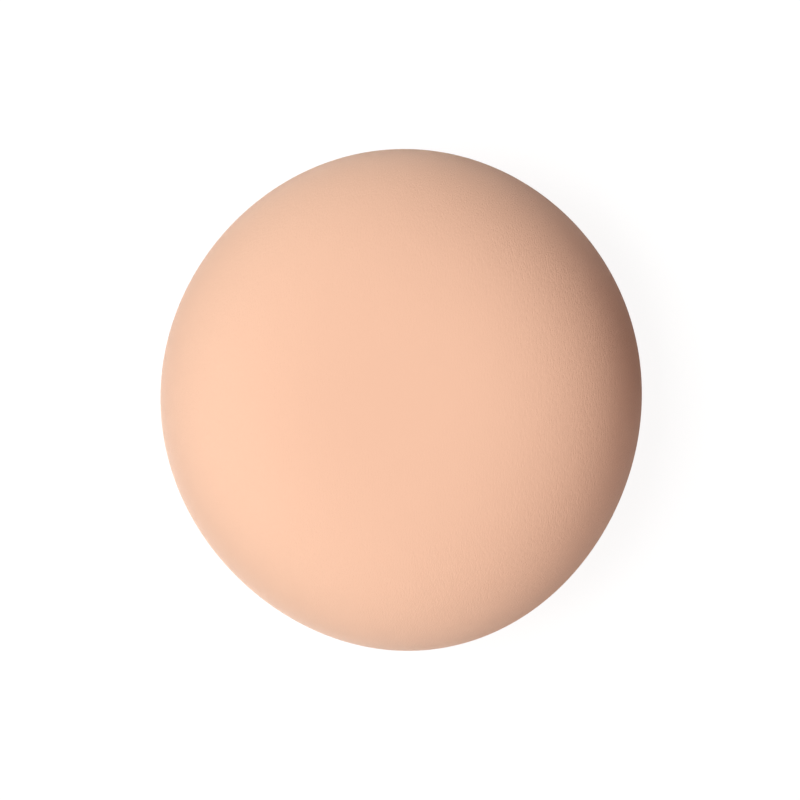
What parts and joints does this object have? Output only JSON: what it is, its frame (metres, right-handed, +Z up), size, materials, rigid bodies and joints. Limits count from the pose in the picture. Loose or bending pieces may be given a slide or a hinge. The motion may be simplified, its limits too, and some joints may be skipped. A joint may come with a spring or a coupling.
{
  "type": "powder puff",
  "caption": "Plump round powder puff: velour panels sewn over a soft sponge, with a hollow back and a satin ribbon for the fingers.",
  "frame": {"origin": "middle of the ribbon's flat underside, level with the rim of the back that the puff lies on", "axes": "+X along the ribbon, +Y along the longer way of the face, +Z up out of the face"},
  "size_m": [0.0574, 0.06, 0.025],
  "materials": {
    "velour": "short-pile microfibre velour, matte with a soft sheen",
    "back_velour": "short-pile microfibre velour, matte",
    "sponge": "fine open-cell sponge, matte",
    "satin": "woven satin, soft gloss",
    "thread": "spun sewing thread"
  },
  "bodies": {
    "back": {"back_panel": "back_velour", "sponge_core": "sponge", "seam_thread": "thread", "closing_thread": "thread"},
    "face": {"face_panel": "velour"},
    "strap": {"finger_ribbon": "satin"}
  },
  "joints": [
    {"name": "face_press", "type": "slide", "parent": "back", "child": "face", "axis": [0, 0, -1], "range_m": [0, 0.005], "stiffness_N_per_m": 400, "deforming": ["sponge_core"]},
    {"name": "strap_lift", "type": "slide", "parent": "back", "child": "strap", "axis": [0, 0, -1], "range_m": [0, 0.006], "stiffness_N_per_m": 120}
  ]
}
